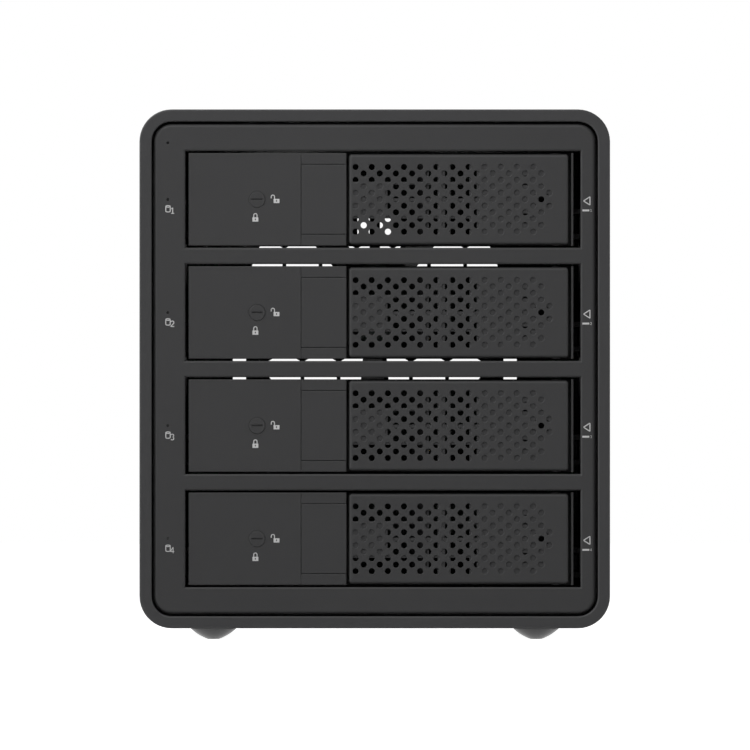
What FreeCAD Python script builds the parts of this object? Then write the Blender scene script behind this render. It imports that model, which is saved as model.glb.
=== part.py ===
import FreeCAD, Part
import math
import os

# Four-bay network storage enclosure. Millimetres, +Z up, front towards -Y.
# Origin: middle of the footprint, on the surface that the feet stand on.

# ---- driving dimensions -------------------------------------------------
BODY_W = 136.0
BODY_H = 150.0
BODY_D = 220.0
FOOT_H = 3.2
WALL = 3.5
CORNER_R = 9.3
FRONT_Y = -BODY_D / 2
REAR_Y = BODY_D / 2
BODY_Z0 = FOOT_H
BODY_Z1 = FOOT_H + BODY_H
IN_X = BODY_W / 2 - WALL
IN_Z0 = BODY_Z0 + WALL
IN_Z1 = BODY_Z1 - WALL

BEZEL_GAP = 0.75
BEZEL_Y = FRONT_Y + 0.4
BEZEL_BACK_Y = FRONT_Y + 8.4
BEZEL_R = 5.05

BAYS = 4
BAY_X = 2.35
BAY_W = 114.3
BAY_H = 28.0
BAY_PITCH = 32.7
BAY_TOP_Z = 127.2
BAY_X0 = BAY_X - BAY_W / 2
BAY_X1 = BAY_X + BAY_W / 2

DRIVE_W = 101.6
DRIVE_SCREW_X = 95.25 / 2
DRIVE_SCREW_Y = (-34.73, 9.72)
DRIVE_SCREW_R = 1.9

FACE_Y = FRONT_Y + 0.8
FACE_X0 = -53.8
FACE_X1 = 57.45
RIM_W = 0.65
FACE_HALF = 13.4
FACE_BACK_Y = -98.0
FRAME_Y = -101.5
BUTTON_X0 = -21.35
BUTTON_X1 = -8.2
BUTTON_HALF = 10.2
SEAM = 0.15

HANDLE_X0 = -7.5
HANDLE_HALF = 13.05
HANDLE_T = 1.2
HANDLE_X1 = 55.9
PIN_X = 52.5
PIN_Y = -106.5
PIN_R = 0.8
ARM_R = 1.3
KNUCKLE_R = 2.2

HOLE_X0 = -5.53
HOLE_COLUMNS = 25
HOLE_DX = 2.333
HOLE_DZ = 1.87
HOLE_R = 0.885
# Moulded ribs on the handle's back, measured from the tray's middle height and along X.
# They close the holes to RIB_DEPTH below the face.
RIB_DEPTH = 0.25
RIBS_Z = ((4.25, 5.07), (-0.7, 0.3), (-5.5, -4.7))
RIBS_X = ((18.2, 20.3), (21.1, 21.9), (27.4, 28.0))
PAD_X = (-6.5, 3.7)
PAD_Z = (-4.9, 4.66)
RIB_BACK_Y = -105.2
WEDGE_X = (10.6, 15.6)

LOCK_X = -34.0
LOCK_R = 2.3
LOCK_GAP = 0.05

TRAY_WALL_OUT = 54.0
TRAY_WALL_T = 2.5
TRAY_BACK_Y = 48.0
TRAY_FLOOR_T = 0.8
TRAY_WINDOWS_Y = ((-90.0, -40.0), (-29.0, 4.0), (16.0, 60.0))
TRAY_FLOOR_DROP = 13.1
RUNNER_OUT = 56.4
RUNNER_Z = (-9.5, -4.5)
RUNNER_FRONT_Y = -80.0
GUIDE_FRONT_Y = -90.0

CAGE_T = 1.2
CAGE_HALF = 57.45
CAGE_Z0 = 14.8
CAGE_Z1 = 141.4
CAGE_BACK_Y = 55.3
BOARD_T = 1.6
BACKPLANE_Y = CAGE_BACK_Y + CAGE_T

PANEL_Y0 = REAR_Y - 4.5
PANEL_Y1 = REAR_Y - 2.5
FAN_Z = 97.5
FAN_R = 38.0
FAN_DEPTH = 25.0
FAN_Y0 = PANEL_Y0 - FAN_DEPTH
FAN_HOLE = 35.75
HUB_R = 15.0
CELL_DX = 10.7
CELL_DZ = 11.2
CELL_Z = 99.2
CELL_HALF_W = 4.78
CELL_STRAIGHT = 3.7
GRILLE_HUB_R = 16.2
POST_HALF = 1.55
SIDE_VENT_X = (38.1, 42.0)
SIDE_VENT_Z = (73.0, 84.0)

CAGE_SCREW_X = 30.0
CAGE_SCREW_Y = 69.0
BEZEL_SCREW_X = (-40.0, 2.35, 45.0)
BEZEL_SCREW_Z = (10.4, 145.8)
RIVET_X = (-58.8, 62.6)
RIVET_Y = (-76.0, -20.0, 36.0)
RIVET_R = 1.0
RIVET_GAP = 0.05
RIVET_HEAD_R = 1.55
RIVET_HEAD_H = 0.6
CAGE_HOLE_R = 1.3
BACK_TAB_Z = (30.0, 112.0)
BOSS_X = 61.0
BOSS_Z = (10.2, 146.2)
BOSS_R = 3.2
LED_X = -59.8
LED_TIP_R = 0.42
LED_BOARD_Y = -96.0
POWER_LED_Z = 143.5
FOOT_X = 46.7
FOOT_Y = 92.0
FOOT_R = 6.5
FOOT_FLAT_R = 1.6

BRIDGE_Z = 18.0
BRIDGE_Y = (62.0, 104.0)
USB_X = -20.0
DC_X = 9.0
DC_Z = 25.4
SWITCH_X = 35.0
SWITCH_Z = 32.0
SWITCH_PIVOT_Y = 104.6
ROCKER_TILT = 9.0


# ---- helpers --------------------------------------------------------------
def vec(x, y, z):
    return FreeCAD.Vector(x, y, z)


def box(x0, x1, y0, y1, z0, z1):
    return Part.makeBox(x1 - x0, y1 - y0, z1 - z0, vec(x0, y0, z0))


def rod(axis, radius, start, length):
    """A cylinder from the point start along the named axis."""
    direction = {"x": vec(1, 0, 0), "y": vec(0, 1, 0), "z": vec(0, 0, 1)}[axis]
    return Part.makeCylinder(radius, length, vec(*start), direction)


def fuse(shapes):
    return shapes[0].fuse(shapes[1:]).removeSplitter()


def cut(shape, tools):
    return shape.cut(tools)


def edges_along(shape, axis):
    """The straight edges of shape that run along x, y or z (0, 1 or 2)."""
    found = []
    for edge in shape.Edges:
        run = edge.Vertexes[-1].Point.sub(edge.Vertexes[0].Point)
        across = [abs(run[i]) for i in range(3) if i != axis]
        if edge.Curve.TypeId == "Part::GeomLine" and abs(run[axis]) > 1e-6 and max(across) < 1e-6:
            found.append(edge)
    return found


def edges_at(shape, axis, value):
    """The edges of shape that lie in the plane axis = value."""
    return [e for e in shape.Edges if all(abs(v.Point[axis] - value) < 1e-6 for v in e.Vertexes)]


def rounded_box(x0, x1, y0, y1, z0, z1, radius, axis=1):
    """A box whose edges along one axis are rounded."""
    block = box(x0, x1, y0, y1, z0, z1)
    return block.makeFillet(radius, edges_along(block, axis))


def extrude_xy(points, z0, z1):
    """A prism with the given outline in X and Y."""
    wire = Part.makePolygon([vec(x, y, z0) for x, y in points + points[:1]])
    return Part.Face(wire).extrude(vec(0, 0, z1 - z0))


def pan_screw(axis, head_start, head_h, head_r, shank_r, shank_len, toward=1):
    """A pan-head screw: the head lies at head_start, the shank runs the way toward points."""
    step = {"x": (1, 0, 0), "y": (0, 1, 0), "z": (0, 0, 1)}[axis]
    start = list(head_start)
    low = [start[i] - (step[i] * head_h if toward > 0 else 0) for i in range(3)]
    head = rod(axis, head_r, low, head_h)
    shank_low = [start[i] - (step[i] * shank_len if toward < 0 else 0) for i in range(3)]
    shank = rod(axis, shank_r, shank_low, shank_len)
    drive = rod(axis, head_r * 0.4, low if toward > 0 else [low[i] + step[i] * head_h / 2 for i in range(3)],
                head_h / 2)
    return cut(fuse([head, shank]), [drive])


def export(name, shape):
    solids = shape.Solids
    if not solids or not all(s.isValid() and s.isClosed() for s in solids):
        raise ValueError(name + " isn't a set of closed valid solids")
    part = solids[0] if len(solids) == 1 else Part.makeCompound(solids)
    part.exportStep("parts/" + name + ".step")
    size = part.BoundBox
    print("%-20s %2d solids  y %7.2f %7.2f  volume %9.1f"
          % (name, len(solids), size.YMin, size.YMax, part.Volume))


def bay_centre(index):
    return BAY_TOP_Z - BAY_PITCH * index


# ---- outer shell -----------------------------------------------------------
def outer_sleeve():
    """The extruded aluminium tube: four walls and four screw bosses in its corners."""
    outer = rounded_box(-BODY_W / 2, BODY_W / 2, FRONT_Y, REAR_Y, BODY_Z0, BODY_Z1, CORNER_R)
    inner = rounded_box(-IN_X, IN_X, FRONT_Y - 1, REAR_Y + 1, IN_Z0, IN_Z1, CORNER_R - WALL)
    tube = cut(outer, [inner])
    rim = edges_at(tube, 1, FRONT_Y) + edges_at(tube, 1, REAR_Y)
    tube = tube.makeChamfer(0.3, rim)
    boss_y0 = -85.0
    length = PANEL_Y0 - boss_y0
    adds = []
    holes = []
    for side in (-1, 1):
        for z, wall_z in zip(BOSS_Z, (IN_Z0 - 0.5, IN_Z1 + 0.5)):
            adds.append(rod("y", BOSS_R, (side * BOSS_X, boss_y0, z), length))
            x0, x1 = sorted((side * BOSS_X, side * (IN_X + 0.5)))
            z0, z1 = sorted((z, wall_z))
            adds.append(box(x0, x1, boss_y0, PANEL_Y0, z0, z1))
            holes.append(rod("y", 1.3, (side * BOSS_X, PANEL_Y0 - 12, z), 12))
        for y in (-FOOT_Y, FOOT_Y):
            holes.append(rod("z", 2.0, (side * FOOT_X, y, BODY_Z0 - 1), WALL + 2))
        for y in (-CAGE_SCREW_Y, CAGE_SCREW_Y):
            holes.append(rod("z", 1.6, (side * CAGE_SCREW_X, y, BODY_Z0 - 1), WALL + 2))
            holes.append(Part.makeCone(3.1, 1.6, 1.5, vec(side * CAGE_SCREW_X, y, BODY_Z0)))
    return cut(fuse([tube] + adds), holes)


def front_bezel():
    """The front frame with four openings, a rounded rim and a lip behind it."""
    edge = IN_X - BEZEL_GAP
    rim = rounded_box(-edge, edge, BEZEL_Y, BEZEL_Y + 5.6, IN_Z0 + BEZEL_GAP, IN_Z1 - BEZEL_GAP, BEZEL_R)
    rim = rim.makeFillet(1.0, edges_at(rim, 1, BEZEL_Y))
    lip_gap = 0.3
    lip = rounded_box(-IN_X + lip_gap, IN_X - lip_gap, BEZEL_Y + 5.6, BEZEL_BACK_Y,
                      IN_Z0 + lip_gap, IN_Z1 - lip_gap, CORNER_R - WALL - lip_gap)
    frame = fuse([rim, lip])
    tools = []
    bevel = 0.4
    for i in range(BAYS):
        z0 = bay_centre(i) - BAY_H / 2
        z1 = bay_centre(i) + BAY_H / 2
        tools.append(box(BAY_X0, BAY_X1, BEZEL_Y - 1, BEZEL_BACK_Y + 1, z0, z1))
        wide = Part.makePolygon([vec(x, BEZEL_Y, z) for x, z in (
            (BAY_X0 - bevel, z0 - bevel), (BAY_X1 + bevel, z0 - bevel), (BAY_X1 + bevel, z1 + bevel),
            (BAY_X0 - bevel, z1 + bevel), (BAY_X0 - bevel, z0 - bevel))])
        narrow = Part.makePolygon([vec(x, BEZEL_Y + bevel, z) for x, z in (
            (BAY_X0, z0), (BAY_X1, z0), (BAY_X1, z1), (BAY_X0, z1), (BAY_X0, z0))])
        tools.append(Part.makeLoft([wide, narrow], True, True))
    for z in light_heights():
        tools.append(rod("y", LED_TIP_R, (LED_X, BEZEL_Y - 1, z), 3))
        tools.append(rod("y", 0.9, (LED_X, BEZEL_Y + 1.2, z), 10))
    for x in BEZEL_SCREW_X:
        for z in BEZEL_SCREW_Z:
            tools.append(rod("y", 1.1, (x, BEZEL_BACK_Y - 5, z), 6))
    return cut(frame, tools)


def light_heights():
    return [POWER_LED_Z] + [bay_centre(i) for i in range(BAYS)]


def light_pipes():
    """Five clear stepped rods: a fine tip in the bezel and a thicker body behind it."""
    pipes = []
    for z in light_heights():
        tip = rod("y", LED_TIP_R, (LED_X, BEZEL_Y + 0.5, z), 0.8)
        body = rod("y", 0.9, (LED_X, BEZEL_Y + 1.2, z), LED_BOARD_Y - BEZEL_Y - 1.5)
        pipes.append(fuse([tip, body]))
    return Part.makeCompound(pipes)


def led_board():
    """The narrow circuit board behind the left column, with one lamp behind each pipe."""
    board = box(-63.4, -57.3, LED_BOARD_Y, LED_BOARD_Y + 1.2, 22.0, 146.5)
    lamps = [box(LED_X - 0.8, LED_X + 0.8, LED_BOARD_Y - 0.25, LED_BOARD_Y, z - 0.5, z + 0.5)
             for z in light_heights()]
    plug = box(-62.8, -58.2, LED_BOARD_Y + 1.2, LED_BOARD_Y + 4.7, 26.0, 34.0)
    return fuse([board, plug] + lamps)


def bezel_screws():
    flange_back = BEZEL_BACK_Y + CAGE_T
    return Part.makeCompound([pan_screw("y", (x, flange_back, z), 1.4, 2.2, 1.1, 5.6, -1)
                              for x in BEZEL_SCREW_X for z in BEZEL_SCREW_Z])


# ---- drive cage --------------------------------------------------------------
def cage_side(side):
    """One steel side plate with vents, flanges for the plates and tabs for the backplane."""
    inner = BAY_X + side * CAGE_HALF
    outer = inner + side * CAGE_T
    x0, x1 = sorted((inner, outer))
    plate = box(x0, x1, BEZEL_BACK_Y, CAGE_BACK_Y + CAGE_T, CAGE_Z0, CAGE_Z1)
    reach = -61.0 if side < 0 else 64.0
    f0, f1 = sorted((inner, reach))
    flanges = [box(f0, f1, -88.0, 50.0, CAGE_Z0, CAGE_Z0 + CAGE_T),
               box(f0, f1, -88.0, 50.0, CAGE_Z1 - CAGE_T, CAGE_Z1)]
    for z0 in BACK_TAB_Z:
        flanges.append(box(f0, f1, CAGE_BACK_Y, CAGE_BACK_Y + CAGE_T, z0, z0 + 12.0))
    slots = []
    for i in range(BAYS):
        for k in range(4):
            y = -72.0 + 36.0 * k
            slots.append(box(x0 - 1, x1 + 1, y - 12.0, y + 12.0, bay_centre(i) + 0.5, bay_centre(i) + 8.5))
    return cut(fuse([plate] + flanges), slots + rivet_holes() + backplane_screw_holes())


def rivet_holes():
    """Upright holes through both flange levels, at each rivet."""
    return [rod("z", RIVET_R + RIVET_GAP, (x, y, CAGE_Z0 - 5), CAGE_Z1 - CAGE_Z0 + 10)
            for x in RIVET_X for y in RIVET_Y]


def bezel_screw_holes():
    """Holes through the front flanges of the cage."""
    return [rod("y", CAGE_HOLE_R, (x, BEZEL_BACK_Y - 1, z), 4) for x in BEZEL_SCREW_X for z in BEZEL_SCREW_Z]


def backplane_screw_holes():
    """Holes through the cage's back tabs and the board they carry."""
    return [rod("y", CAGE_HOLE_R, (x, CAGE_BACK_Y - 2, z), 6) for x, z in backplane_screw_places()]


def cage_top():
    """The steel plate over the bays, with a front flange for the bezel and a middle vent."""
    plate = box(-56.3, 61.0, BEZEL_BACK_Y, CAGE_BACK_Y + CAGE_T, CAGE_Z1, CAGE_Z1 + CAGE_T)
    wings = box(-61.0, 64.0, -88.0, 50.0, CAGE_Z1, CAGE_Z1 + CAGE_T)
    flange = box(-50.0, 55.0, BEZEL_BACK_Y, BEZEL_BACK_Y + CAGE_T, CAGE_Z1, 148.8)
    vents = [box(-40.0, 44.7, y, y + 12.0, CAGE_Z1 - 1, CAGE_Z1 + 3) for y in (-70.0, -40.0, -10.0, 20.0)]
    return cut(fuse([plate, wings, flange]), vents + rivet_holes() + bezel_screw_holes())


def cage_bottom():
    """The steel floor plate: it carries the cage, and the bridge board behind it."""
    low = CAGE_Z0 - CAGE_T
    plate = box(-56.3, 61.0, BEZEL_BACK_Y, BRIDGE_Y[1], low, CAGE_Z0)
    wings = box(-61.0, 64.0, -88.0, 50.0, low, CAGE_Z0)
    flange = box(-50.0, 55.0, BEZEL_BACK_Y, BEZEL_BACK_Y + CAGE_T, 7.4, CAGE_Z0)
    holes = [rod("z", 1.3, (x, y, low - 1), 4) for x, y in cage_screw_places()]
    return cut(fuse([plate, wings, flange]), holes + rivet_holes() + bezel_screw_holes())


def cage_screw_places():
    return [(sx * CAGE_SCREW_X, sy * CAGE_SCREW_Y) for sx in (-1, 1) for sy in (-1, 1)]


def cage_spacers():
    """Short turned sleeves that hold the floor plate above the sleeve's bottom wall."""
    height = CAGE_Z0 - CAGE_T - IN_Z0
    return Part.makeCompound([cut(rod("z", 3.5, (x, y, IN_Z0), height),
                                  [rod("z", 1.6, (x, y, IN_Z0 - 1), height + 2)])
                              for x, y in cage_screw_places()])


def cage_screws():
    """Countersunk screws from under the sleeve, up through the spacers into the floor plate."""
    screws = []
    for x, y in cage_screw_places():
        head = Part.makeCone(3.0, 1.5, 1.5, vec(x, y, BODY_Z0 + 0.1))
        shank = rod("z", 1.3, (x, y, BODY_Z0 + 1.0), CAGE_Z0 - BODY_Z0 - 0.6)
        socket = rod("z", 1.0, (x, y, BODY_Z0), 1.0)
        screws.append(cut(fuse([head, shank]), [socket]))
    return Part.makeCompound(screws)


def cage_rivets():
    """Rivets that join the side plates' flanges to the floor and top plates, heads inside."""
    low_stem = CAGE_Z0 - CAGE_T
    high_stem = CAGE_Z1 - CAGE_T
    rivets = []
    for x in RIVET_X:
        for y in RIVET_Y:
            for stem_z, head_z in ((low_stem, CAGE_Z0 + CAGE_T), (high_stem, high_stem - RIVET_HEAD_H)):
                stem = rod("z", RIVET_R, (x, y, stem_z), 2 * CAGE_T)
                head = rod("z", RIVET_HEAD_R, (x, y, head_z), RIVET_HEAD_H)
                rivets.append(fuse([stem, head]))
    return Part.makeCompound(rivets)


def tray_guides():
    """Eight plastic C-shaped channels on the cage sides, two for each tray."""
    guides = []
    for i in range(BAYS):
        mid = bay_centre(i)
        for side in (-1, 1):
            x0, x1 = sorted((BAY_X + side * 54.4, BAY_X + side * CAGE_HALF))
            g0, g1 = sorted((BAY_X + side * 54.3, BAY_X + side * 56.8))
            body = box(x0, x1, GUIDE_FRONT_Y, 52.0, mid - 11.35, mid - 2.65)
            groove = box(g0, g1, GUIDE_FRONT_Y - 1, 53.0, mid - 9.85, mid - 4.15)
            guides.append(cut(body, [groove]))
    return Part.makeCompound(guides)


# ---- electronics ---------------------------------------------------------------
def backplane_board():
    """The upright board behind the trays, with air slots between its connectors."""
    y0 = BACKPLANE_Y
    board = box(-60.5, 63.5, y0, y0 + BOARD_T, 16.5, 139.5)
    slots = []
    for i in range(BAYS - 1):
        edge = bay_centre(i) - BAY_PITCH / 2
        low_slot = rounded_box(-46.0, 50.0, y0 - 1, y0 + 3, edge - 5.3, edge + 5.2, 1.5)
        tall_slot = rounded_box(-46.0, 5.0, y0 - 1, y0 + 3, edge - 5.3, edge + 12.0, 1.5)
        slots.append(fuse([low_slot, tall_slot]))
    slots.append(box(-46.0, 5.0, y0 - 1, y0 + 3, 136.0, 140.0))
    return cut(board, slots + backplane_screw_holes())


def backplane_screw_places():
    return [(x, z0 + 6.0) for x in (-58.5, 62.0) for z0 in BACK_TAB_Z]


def backplane_screws():
    back = BACKPLANE_Y + BOARD_T
    return Part.makeCompound([pan_screw("y", (x, back, z), 1.4, 1.9, 1.2, 4.0, -1)
                              for x, z in backplane_screw_places()])


def drive_connectors():
    """Four combined data and power sockets, each with two blades in an open shroud."""
    sockets = []
    for i in range(BAYS):
        z0 = bay_centre(i) - 10.9
        shroud = box(8.0, 50.0, 49.0, BACKPLANE_Y, z0, z0 + 6.0)
        data = box(9.2, 21.0, 48.0, 54.0, z0 + 1.0, z0 + 5.0)
        power = box(24.0, 48.8, 48.0, 54.0, z0 + 1.0, z0 + 5.0)
        blades = [box(x0, x1, 50.0, 54.5, z0 + 2.2, z0 + 3.4)
                  for x0, x1 in ((9.6, 20.4), (24.6, 48.2))]
        sockets.append(fuse([cut(shroud, [data, power])] + blades))
    return Part.makeCompound(sockets)


def bridge_board():
    """The flat board low at the back that carries the ports and the controller."""
    board = box(-48.0, 48.0, BRIDGE_Y[0], BRIDGE_Y[1], BRIDGE_Z, BRIDGE_Z + BOARD_T)
    notch = box(26.0, 44.0, 88.0, 105.0, BRIDGE_Z - 1, BRIDGE_Z + 3)
    holes = [rod("z", 1.3, (x, y, BRIDGE_Z - 1), 4) for x, y in bridge_screw_places()]
    chips = [box(-8.0, 6.0, 72.0, 86.0, BRIDGE_Z + BOARD_T, BRIDGE_Z + BOARD_T + 1.2),
             box(-34.0, -26.0, 72.0, 80.0, BRIDGE_Z + BOARD_T, BRIDGE_Z + BOARD_T + 1.0)]
    return fuse([cut(board, [notch] + holes)] + chips)


def bridge_screw_places():
    return [(-44.0, 67.0), (44.0, 67.0), (-44.0, 98.0), (22.0, 98.0)]


def board_standoffs():
    return Part.makeCompound([cut(rod("z", 2.5, (x, y, CAGE_Z0), BRIDGE_Z - CAGE_Z0),
                                  [rod("z", 1.2, (x, y, CAGE_Z0 + 0.5), 4)])
                              for x, y in bridge_screw_places()])


def board_screws():
    top = BRIDGE_Z + BOARD_T
    return Part.makeCompound([pan_screw("z", (x, y, top), 1.4, 2.2, 1.2, 4.0, -1)
                              for x, y in bridge_screw_places()])


def board_link():
    """The right-angle connector that joins the backplane to the bridge board."""
    board_back = BACKPLANE_Y + BOARD_T
    foot_y = board_back + 5.5
    upright = box(-30.0, 20.0, board_back, foot_y, 21.5, 27.5)
    foot = box(-30.0, 20.0, foot_y, foot_y + 5.5, BRIDGE_Z + BOARD_T, 27.5)
    return fuse([upright, foot])


def usb_socket():
    """The small reversible data port: a rounded metal shell round a thin tongue."""
    z0 = BRIDGE_Z + BOARD_T
    shell = rounded_box(USB_X - 4.5, USB_X + 4.5, 99.4, PANEL_Y1 + 0.3, z0, z0 + 3.3, 1.6)
    hollow = rounded_box(USB_X - 4.2, USB_X + 4.2, 101.4, PANEL_Y1 + 1, z0 + 0.3, z0 + 3.0, 1.3)
    tongue = box(USB_X - 3.2, USB_X + 3.2, 101.0, PANEL_Y1 - 0.4, z0 + 1.3, z0 + 2.0)
    return fuse([cut(shell, [hollow]), tongue])


def dc_socket():
    """The barrel power inlet with its centre pin."""
    body = box(DC_X - 4.5, DC_X + 4.5, 92.0, PANEL_Y0 - 0.2, BRIDGE_Z + BOARD_T, DC_Z + 5.2)
    nose = rod("y", 4.0, (DC_X, PANEL_Y0 - 1, DC_Z), 3.4)
    barrel = rod("y", 3.0, (DC_X, 97.0, DC_Z), 20.0)
    pin = rod("y", 1.0, (DC_X, 96.0, DC_Z), 10.6)
    return fuse([cut(fuse([body, nose]), [barrel]), pin])


def switch_housing():
    """The snap-in frame of the power switch."""
    flange = rounded_box(SWITCH_X - 7.5, SWITCH_X + 7.5, PANEL_Y1, PANEL_Y1 + 1.2,
                         SWITCH_Z - 10.5, SWITCH_Z + 10.5, 1.0)
    body = box(SWITCH_X - 6.4, SWITCH_X + 6.4, 93.0, PANEL_Y1, SWITCH_Z - 9.4, SWITCH_Z + 9.4)
    well = box(SWITCH_X - 5.3, SWITCH_X + 5.3, 99.5, PANEL_Y1 + 2, SWITCH_Z - 8.4, SWITCH_Z + 8.4)
    blades = [box(SWITCH_X - 2.4, SWITCH_X + 2.4, 87.0, 93.0, SWITCH_Z + dz - 0.4, SWITCH_Z + dz + 0.4)
              for dz in (-4.0, 4.0)]
    pivots = [rod("x", 0.8, (SWITCH_X + x, SWITCH_PIVOT_Y, SWITCH_Z), 0.8) for x in (-5.5, 4.7)]
    return fuse([cut(fuse([flange, body]), [well])] + blades + pivots)


def switch_rocker():
    """The rocker: two flat faces that meet in a shallow valley, on a cross pivot."""
    half = 7.4
    front = [(-half, PANEL_Y1 + 1.1), (0.0, PANEL_Y1 + 0.3), (half, PANEL_Y1 + 1.1)]
    back = [(half, 104.4), (3.2, 101.9), (-3.2, 101.9), (-half, 104.4)]
    points = [vec(SWITCH_X - 4.6, y, SWITCH_Z + z) for z, y in front + back]
    block = Part.Face(Part.makePolygon(points + points[:1])).extrude(vec(9.2, 0, 0))
    block = cut(block, [rod("x", 0.87, (SWITCH_X - 6, SWITCH_PIVOT_Y, SWITCH_Z), 12)])
    block.rotate(vec(SWITCH_X, SWITCH_PIVOT_Y, SWITCH_Z), vec(1, 0, 0), -ROCKER_TILT)
    return block


# ---- rear panel and fan ----------------------------------------------------------
def tall_hexagon(x, z, half_w, straight):
    """A prism along Y: a hexagon with upright sides, stretched by a straight length."""
    tip = half_w * math.tan(math.radians(30)) + straight
    right_half = [(0, -tip), (half_w, -straight), (half_w, straight)]
    outline = right_half + [(-dx, -dz) for dx, dz in right_half]
    points = [vec(x + dx, PANEL_Y0 - 1, z + dz) for dx, dz in outline]
    return Part.Face(Part.makePolygon(points + points[:1])).extrude(vec(0, 5, 0))


def grille_cells():
    """The honeycomb inside the fan circle, round the solid hub disc and the middle post."""
    cells = []
    for k in range(-4, 5):
        shift = 0.0 if k % 2 else CELL_DX / 2
        for n in range(-4, 5):
            x = n * CELL_DX + shift
            z = CELL_Z + k * CELL_DZ
            if math.hypot(x, z - FAN_Z) < FAN_R + 3.0:
                cells.append(tall_hexagon(x, z, CELL_HALF_W, CELL_STRAIGHT))
    disc = rod("y", FAN_R, (0, PANEL_Y0 - 1, FAN_Z), 5)
    hub = rod("y", GRILLE_HUB_R, (0, PANEL_Y0 - 2, FAN_Z), 7)
    post = box(-POST_HALF, POST_HALF, PANEL_Y0 - 2, PANEL_Y1 + 2, FAN_Z - 50, FAN_Z + 50)
    open_ring = cut(disc, [hub, post])
    pieces = []
    for cell in cells:
        pieces += [s for s in cell.common(open_ring).Solids if s.Volume > 5.0]
    return pieces


def rear_panel():
    """The back plate: fan grille, two side vents, port holes and corner screw holes."""
    gap = 0.3
    plate = rounded_box(-IN_X + gap, IN_X - gap, PANEL_Y0, PANEL_Y1,
                        IN_Z0 + gap, IN_Z1 - gap, CORNER_R - WALL - gap)
    tools = grille_cells()
    y0 = PANEL_Y0 - 1
    y1 = PANEL_Y1 + 1
    for side in (-1, 1):
        x0, x1 = sorted((side * SIDE_VENT_X[0], side * SIDE_VENT_X[1]))
        tools.append(rounded_box(x0, x1, y0, y1, SIDE_VENT_Z[0], SIDE_VENT_Z[1], 1.9))
        for z in BOSS_Z:
            tools.append(rod("y", 1.4, (side * BOSS_X, y0, z), 4))
        for dz in (-FAN_HOLE, FAN_HOLE):
            tools.append(rod("y", 2.15, (side * FAN_HOLE, y0, FAN_Z + dz), 4))
    usb_z = BRIDGE_Z + BOARD_T
    tools.append(rounded_box(USB_X - 5.0, USB_X + 5.0, y0, y1, usb_z - 0.4, usb_z + 3.7, 1.9))
    tools.append(rod("y", 4.3, (DC_X, y0, DC_Z), 4))
    tools.append(box(SWITCH_X - 6.4, SWITCH_X + 6.4, y0, y1, SWITCH_Z - 9.4, SWITCH_Z + 9.4))
    for k in range(9):
        x = -56.0 + 3.2 * k
        tools.append(rounded_box(x, x + 1.6, y0, y1, 21.0, 36.0, 0.75))
    return cut(plate, tools)


def rear_screws():
    return Part.makeCompound([pan_screw("y", (side * BOSS_X, PANEL_Y1, z), 1.8, 2.4, 1.2, 11.0, -1)
                              for side in (-1, 1) for z in BOSS_Z])


def fan_frame():
    """The fan's square frame: a duct, four screw corners, four spokes and the motor seat."""
    duct = rod("y", FAN_R + 1.6, (0, FAN_Y0, FAN_Z), FAN_DEPTH)
    corners = []
    holes = []
    for sx in (-1, 1):
        for sz in (-1, 1):
            x0, x1 = sorted((sx * 26.0, sx * 40.0))
            z0, z1 = sorted((FAN_Z + sz * 26.0, FAN_Z + sz * 40.0))
            for y0 in (FAN_Y0, PANEL_Y0 - 4.0):
                corners.append(box(x0, x1, y0, y0 + 4.0, z0, z1))
            holes.append(rod("y", 2.15, (sx * FAN_HOLE, FAN_Y0 - 1, FAN_Z + sz * FAN_HOLE), FAN_DEPTH + 2))
    shell = cut(fuse([duct] + corners), [rod("y", FAN_R, (0, FAN_Y0 - 1, FAN_Z), FAN_DEPTH + 2)] + holes)
    seat = rod("y", HUB_R, (0, PANEL_Y0 - 3.0, FAN_Z), 3.0)
    spokes = [box(-1.4, 1.4, PANEL_Y0 - 3.0, PANEL_Y0, FAN_Z - FAN_R - 0.8, FAN_Z + FAN_R + 0.8),
              box(-FAN_R - 0.8, FAN_R + 0.8, PANEL_Y0 - 3.0, PANEL_Y0, FAN_Z - 1.4, FAN_Z + 1.4)]
    bore = rod("y", 1.56, (0, PANEL_Y0 - 4.0, FAN_Z), 2.6)
    return cut(fuse([shell, seat] + spokes), [bore])


def fan_blade(turn):
    """One blade: a thin bar at the hub, steep, blended into a flatter, longer bar at the tip."""
    mid_y = FAN_Y0 + 10.5
    wires = []
    for radius, chord, pitch in ((HUB_R - 2.0, 12.0, 64.0), (FAN_R - 1.4, 17.0, 56.0)):
        along = chord / 2
        thick = 0.7
        a = math.radians(pitch)
        corners = []
        for u, v in ((-along, -thick), (along, -thick), (along, thick), (-along, thick)):
            x = u * math.cos(a) - v * math.sin(a)
            y = mid_y + u * math.sin(a) + v * math.cos(a)
            corners.append(vec(x, y, radius))
        wires.append(Part.makePolygon(corners + corners[:1]))
    blade = Part.makeLoft(wires, True, True)
    blade.rotate(vec(0, 0, 0), vec(0, 1, 0), turn)
    blade.translate(vec(0, 0, FAN_Z))
    return blade


def fan_rotor():
    """The hub cup with five swept blades."""
    cup = rod("y", HUB_R - 0.6, (0, FAN_Y0 + 1.5, FAN_Z), 20.0)
    cup = cup.makeFillet(1.5, edges_at(cup, 1, FAN_Y0 + 1.5))
    cup = cut(cup, [rod("y", 1.5, (0, FAN_Y0 + 9.0, FAN_Z), 20.0)])
    blades = [fan_blade(180.0 + 72.0 * k) for k in range(5)]
    return fuse([cup] + blades)


def fan_shaft():
    return rod("y", 1.5, (0, FAN_Y0 + 9.0, FAN_Z), 14.4)


def fan_screws():
    places = [(sx * FAN_HOLE, PANEL_Y1, FAN_Z + sz * FAN_HOLE) for sx in (-1, 1) for sz in (-1, 1)]
    return Part.makeCompound([pan_screw("y", place, 1.8, 3.4, 2.0, 6.0, -1) for place in places])


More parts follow.
